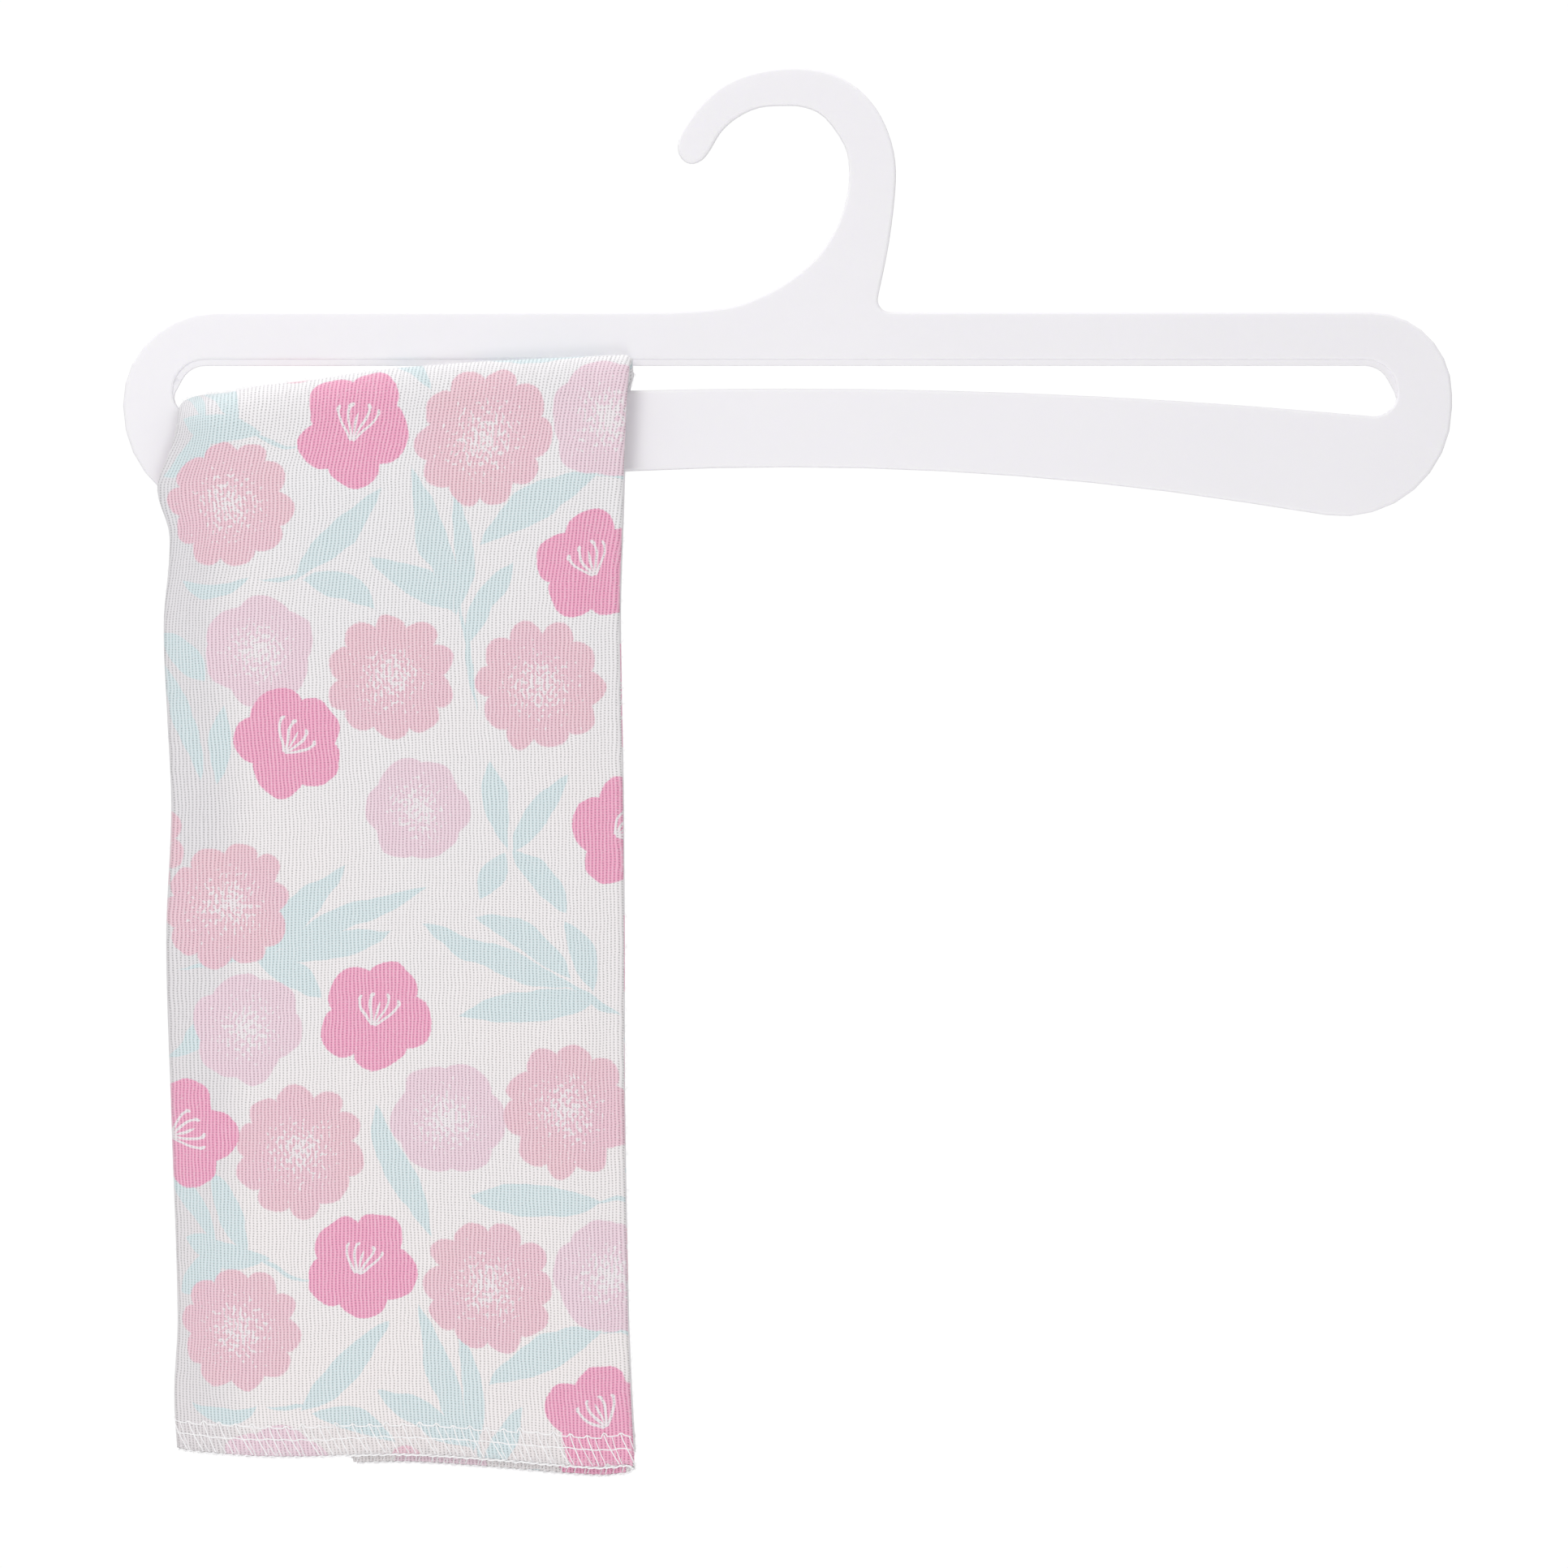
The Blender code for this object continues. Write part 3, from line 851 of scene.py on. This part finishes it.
def arc(x0, z0, x1, z1, bow):
    """Middle and radius of the arc through two tips that bows this far to the left."""
    long = math.hypot(x1 - x0, z1 - z0)
    radius = (long * long / 4 + bow * bow) / (2 * abs(bow))
    left_x, left_z = -(z1 - z0) / long, (x1 - x0) / long
    back = math.copysign(radius - abs(bow), bow)
    return (x0 + x1) / 2 - left_x * back, (z0 + z1) / 2 - left_z * back, radius


def leaf_ink(finish, place):
    """How far inside the nearest leaf a place is, in millimetres."""
    best = None
    for x0, z0, x1, z1, right, left in LEAVES:
        for dx, dz, in repeats(((x0 + x1) / 2, (z0 + z1) / 2), math.hypot(x1 - x0, z1 - z0) / 2):
            sx, sz = dx - (x0 + x1) / 2, dz - (z0 + z1) / 2
            sides = []
            for bow, side in ((left, 1), (right, -1)):
                bow = bow or 0.02
                cx, cz, radius = arc(x0 + sx, z0 + sz, x1 + sx, z1 + sz, bow)
                far = finish.vector("DISTANCE", place, (cx, cz, 0.0), out=1)
                sides.append(radius - far if bow * side > 0 else far - radius)
            inside = sides[0].sum("MINIMUM", sides[1])
            best = inside if best is None else best.sum("MAXIMUM", inside)
    return best


def edge_way(finish, u, v):
    """Distance in from the nearest cut edge."""
    aside = u.sum("MINIMUM", CLOTH_WIDE - u)
    return aside.sum("MINIMUM", v).sum("MINIMUM", CLOTH_LONG - v)


def stamens(finish, far, angle):
    """A fan of fine lines from a point low in the blossom, each with a dot at its end."""
    across = far * angle.sum("COSINE")
    upwards = far * angle.sum("SINE") + 0.24
    reach = (across * across + upwards * upwards).sum("SQRT")
    spread = across.sum("ARCTAN2", upwards)
    bowed = spread + (reach - 0.35) * (reach - 0.35) * 1.6 * spread.sum("SIGN")
    between = bowed.sum("WRAP", 0.17, -0.17) * reach
    in_fan = bowed.sum("ABSOLUTE").sum("LESS_THAN", 0.85)
    line = finish.step(between.sum("ABSOLUTE"), 0.032, 0.016)
    line = line * reach.sum("LESS_THAN", 0.62) * reach.sum("GREATER_THAN", 0.06)
    tip = (reach - 0.62) * (reach - 0.62) + between * between
    dot = finish.step(tip, 0.0022, 0.0012)
    return line.sum("MAXIMUM", dot) * in_fan


def woven(finish, flat, u, v):
    """Height of the weave, the painted shade in its holes, and how much raised nap covers it, with a
    painted highlight on the rib tops.
    """
    leaning = (v - LEAN_FROM).sum("MAXIMUM", 0.0).sum("MINIMUM", LEAN_REACH)
    wave = finish.noise(flat, 0.16, 2.0) - 0.5
    rib_at = (u + leaning * leaning * 0.0009 + wave * 0.9) * (math.tau / RIB_PITCH)
    slub = finish.noise(finish.vector("MULTIPLY", flat, (1.28, 0.10, 1.0)), 1.0, 1.0)
    weft_at = (v + (slub - 0.5) * 0.5) * (math.tau / WEFT_PITCH)
    rib = rib_at.sum("COSINE")
    weft = weft_at.sum("COSINE")
    gap = finish.step(rib, 0.1, -0.9)
    hole = gap * finish.step(weft, 0.0, 0.9)
    thick = finish.noise(finish.vector("MULTIPLY", flat, (0.9, 2.2, 1.0)), 1.0, 2.0, 0.6)
    nap = finish.noise(flat, 5.5, 3.0, 0.65)
    # The darkness of the holes is painted shade in the weave's hollows
    depth = hole * (thick * 0.75 + 0.05) + gap * 0.07
    # Pale raised nap over the rib tops, partly the nap's own fibres and partly a painted highlight
    nap_and_highlight = finish.step(rib, -0.4, 0.9) * (finish.step(nap, 0.42, 0.62) * 0.24 + slub * 0.22)
    return rib * 0.30 + weft * 0.10 - hole * 0.5 + nap * 0.9, depth, nap_and_highlight


def printed_flannel():
    finish = Finish("printed flannel")
    cut = finish.node("ShaderNodeUVMap", {"uv_map": "Cut"})
    flat = finish.vector("MULTIPLY", cut, (CLOTH_WIDE, CLOTH_LONG, 0.0))
    u, v, _ = finish.split(flat)

    # The print, laid on the front panel as it hangs
    to_chart = (-1.0, FRONT_LONG / DROP_LONG, 0.0)
    laid = finish.vector("MULTIPLY_ADD", flat, to_chart, (PRINT_FROM_X, PRINT_FROM_Z, 0.0))
    drift = finish.noise(laid, 0.11, 1.5, out=1)
    drift = finish.vector("SUBTRACT", drift, (0.5, 0.5, 0.5))
    drawn = finish.vector("MULTIPLY_ADD", drift, (3.4, 3.4, 0.0), laid)
    corner = (REPEAT_FROM_X, REPEAT_FROM_Z, -1.0)
    far_corner = (REPEAT_FROM_X + REPEAT_WIDE, REPEAT_FROM_Z + REPEAT_HIGH, 1.0)
    place = finish.vector("WRAP", drawn, far_corner, corner)

    yarn_edge = finish.noise(flat, 2.6, 1.0) - 0.5
    blossom, blossom_far, blossom_angle = lobed(finish, place, BLOSSOMS, 5, 0.54, 0.46, 0.58)
    daisy, daisy_far, _ = lobed(finish, place, DAISIES, 10, 0.74, 0.27, 0.8)
    round_, round_far, _ = lobed(finish, place, ROUNDS, 6, 0.45, 0.55, 0.8)
    leaf = leaf_ink(finish, place)
    edge = yarn_edge * 0.045
    on_blossom = finish.step(blossom + edge, 0.012, -0.012)
    on_daisy = finish.step(daisy + edge, 0.016, -0.016)
    on_round = finish.step(round_ + edge, 0.02, -0.02)
    on_leaf = finish.step(leaf + yarn_edge * 0.4, -0.15, 0.15)

    # Stippled middles of the other flowers
    fine = finish.vector("MULTIPLY", flat, (1.0, 0.7, 1.0))
    stipple = finish.noise(fine, 1.5, 1.0, 0.4)
    daisy_middle = finish.step(stipple - daisy_far * 0.42, 0.38, 0.47)
    round_middle = finish.step(stipple - round_far * 0.46, 0.34, 0.43)

    # Ink lies unevenly on the nap
    blotch = finish.noise(laid, 0.35, 3.0, 0.6) - 0.5
    tint = (v * (1 / CLOTH_LONG * 2)).sum("MINIMUM", 1.0) + (finish.noise(laid, 0.03, 1.0) - 0.5) * 0.8
    ground = finish.blend(tint, GROUND_LOW, GROUND_HIGH)
    # Painted shade where the front rolls back round the left fold
    left_fold = (LEFT_TURN_TO + LEFT_TURN_FROM) / 2
    at_fold = finish.step((u - left_fold).sum("ABSOLUTE"), 19.0, 7.0)
    ground = finish.blend(at_fold * 0.34, ground, FOLD_SHADE)
    seam = finish.step(edge_way(finish, u, v), 6.4, 4.8)
    ground = finish.blend(seam * 0.22, ground, SEAM_SHADE)
    daisy_ink = finish.blend(finish.noise(laid, 0.07, 1.0), *DAISY_INKS)
    colour = finish.blend(on_leaf * 0.92, ground, LEAF_INK)
    round_ink = finish.blend(round_middle * 0.85, ROUND_INK, WHITE_INK)
    colour = finish.blend(on_round, colour, round_ink)
    daisy_ink = finish.blend(daisy_middle * 0.85, daisy_ink, WHITE_INK)
    colour = finish.blend(on_daisy, colour, daisy_ink)
    fan = stamens(finish, blossom_far, blossom_angle)
    blossom_ink = finish.blend(fan * 0.92, BLOSSOM_INK, WHITE_INK)
    colour = finish.blend(on_blossom, colour, blossom_ink)
    worn = finish.noise(flat, 1.9, 2.0, 0.6)
    colour = finish.blend(finish.step(worn + blotch * 0.3, 0.45, 0.85) * 0.22, colour, ground)

    height, depth, nap_and_highlight = woven(finish, flat, u, v)
    # Nap with a painted highlight on the rib tops
    colour = finish.blend(nap_and_highlight, colour, RAISED_NAP_AND_HIGHLIGHT)
    # Painted shade in the weave's holes
    colour = finish.vector("SCALE", colour, None, None, 1.0 - depth)
    finish.use("Base Color", colour)
    finish.use("Normal", finish.bump(height, 0.00012, 0.6))
    finish.use("Roughness", 0.93)
    finish.use("Sheen Weight", 0.5)
    finish.use("Sheen Roughness", 0.6)
    return finish.material


def sewing_thread():
    finish = Finish("sewing thread")
    at = finish.node("ShaderNodeTexCoord", None, (), 3)
    fine = finish.vector("MULTIPLY", at, (1000.0, 1000.0, 1000.0))
    twist = finish.noise(fine, 3.2, 2.0, 0.6)
    colour = finish.blend(twist, (0.94, 0.93, 0.94), (0.98, 0.975, 0.98))
    finish.use("Base Color", colour)
    finish.use("Normal", finish.bump(twist, 0.00006, 0.6))
    finish.use("Roughness", 0.6)
    finish.use("Sheen Weight", 0.3)
    return finish.material


def nap_fibre():
    finish = Finish("nap fibre")
    at = finish.node("ShaderNodeTexCoord", None, (), 3)
    pale = finish.noise(at, 900.0, 1.0)
    finish.use("Base Color", finish.blend(pale, (0.90, 0.88, 0.90), (0.95, 0.94, 0.95)))
    finish.use("Roughness", 0.8)
    return finish.material


def frosted_plastic():
    finish = Finish("frosted plastic")
    at = finish.node("ShaderNodeTexCoord", None, (), 3)
    fine = finish.vector("MULTIPLY", at, (1000.0, 1000.0, 1000.0))
    grain = finish.noise(fine, 3.0, 2.0, 0.6)
    cloud = finish.noise(fine, 0.02, 2.0)
    colour = finish.blend(cloud, (0.87, 0.855, 0.885), (0.845, 0.835, 0.86))
    finish.use("Base Color", colour)
    finish.use("Roughness", finish.noise(fine, 0.15, 2.0) * 0.12 + 0.34)
    finish.use("Normal", finish.bump(grain, 0.00002, 0.35))
    finish.use("Subsurface Weight", 0.25)
    finish.use("Subsurface Radius", (0.0022, 0.0021, 0.0024))
    finish.use("Subsurface Scale", 1.0)
    finish.use("Specular IOR Level", 0.45)
    return finish.material


def pale_floor():
    finish = Finish("pale floor")
    at = finish.node("ShaderNodeTexCoord", None, (), 3)
    shade = finish.noise(at, 9.0, 3.0)
    finish.use("Base Color", finish.blend(shade, (0.86, 0.86, 0.87), (0.90, 0.90, 0.90)))
    finish.use("Roughness", 0.8)
    return finish.material


def give_material(piece, material):
    piece.data.materials.clear()
    piece.data.materials.append(material)


def make_floor():
    clear_selection()
    bpy.ops.mesh.primitive_circle_add(
        vertices=96, radius=0.42, fill_type="NGON", location=(0.0, 0.0, -0.45)
    )
    floor = bpy.context.active_object
    floor.name = "floor"
    bpy.ops.object.transform_apply(location=True, rotation=True, scale=True)
    thickness = floor.modifiers.new("Thickness", "SOLIDIFY")
    thickness.thickness = 0.012
    thickness.offset = -1
    apply_modifiers(floor)
    give_material(floor, pale_floor())
    return floor


# The photograph's frame: millimetres across, and the point at its middle
FRAME_WIDE, LOOKS_AT, CAMERA_AWAY = 324.6, (0.2, -140.4), 1.55


def set_camera():
    data = bpy.data.cameras.new("camera")
    data.sensor_width = 36.0
    data.lens = 36.0 * CAMERA_AWAY / (FRAME_WIDE * MM)
    data.clip_start, data.clip_end = 0.05, 20.0
    camera = bpy.data.objects.new("camera", data)
    camera.location = (LOOKS_AT[0] * MM, -CAMERA_AWAY, LOOKS_AT[1] * MM)
    camera.rotation_euler = (math.pi / 2, 0, 0)
    bpy.context.scene.collection.objects.link(camera)
    bpy.context.scene.camera = camera


def area_light(name, place, towards, size, power, colour=(1, 1, 1)):
    data = bpy.data.lights.new(name, "AREA")
    data.shape = "DISK"
    data.size = size
    data.energy = power
    data.color = colour
    light = bpy.data.objects.new(name, data)
    light.location = place
    light.rotation_euler = (Vector(towards) - Vector(place)).to_track_quat("-Z", "Y").to_euler()
    bpy.context.scene.collection.objects.link(light)


def set_light():
    world = bpy.data.worlds.new("studio")
    world.use_nodes = True
    nodes, links = world.node_tree.nodes, world.node_tree.links
    background = nodes["Background"]
    background.inputs["Color"].default_value = (1.0, 1.0, 1.0, 1.0)
    path = nodes.new("ShaderNodeLightPath")
    strength = nodes.new("ShaderNodeMix")
    strength.inputs[2].default_value = 0.58
    strength.inputs[3].default_value = 1.02
    links.new(path.outputs["Is Camera Ray"], strength.inputs[0])
    links.new(strength.outputs[0], background.inputs["Strength"])
    bpy.context.scene.world = world
    area_light("key", (-0.42, -0.82, 0.30), (-0.05, 0, -0.13), 0.5, 3.1, (1.0, 0.997, 0.99))
    area_light("low", (0.05, -0.75, -0.5), (-0.08, 0, -0.22), 0.4, 1.1)
    area_light("back", (-0.35, 0.9, 0.25), (0, 0, -0.15), 0.5, 3.4)
    area_light("top", (0.0, 0.05, 1.0), (0, 0, -0.45), 0.6, 6.0)
    view = bpy.context.scene.view_settings
    view.view_transform = "Standard"
    view.look = "None"
    view.exposure = 0.0
    view.gamma = 1.0


cloth = make_cloth()
give_material(cloth, printed_flannel())
thread = make_overlock()
give_material(thread, sewing_thread())
fuzz = make_fuzz()
give_material(fuzz, nap_fibre())
plate = make_hanger()
give_material(plate, frosted_plastic())

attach(cloth, "root")
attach(thread, "root")
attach(fuzz, "root")
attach(plate, "root")
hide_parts("burp_cloth")
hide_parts("hanger")

make_floor()
set_camera()
set_light()
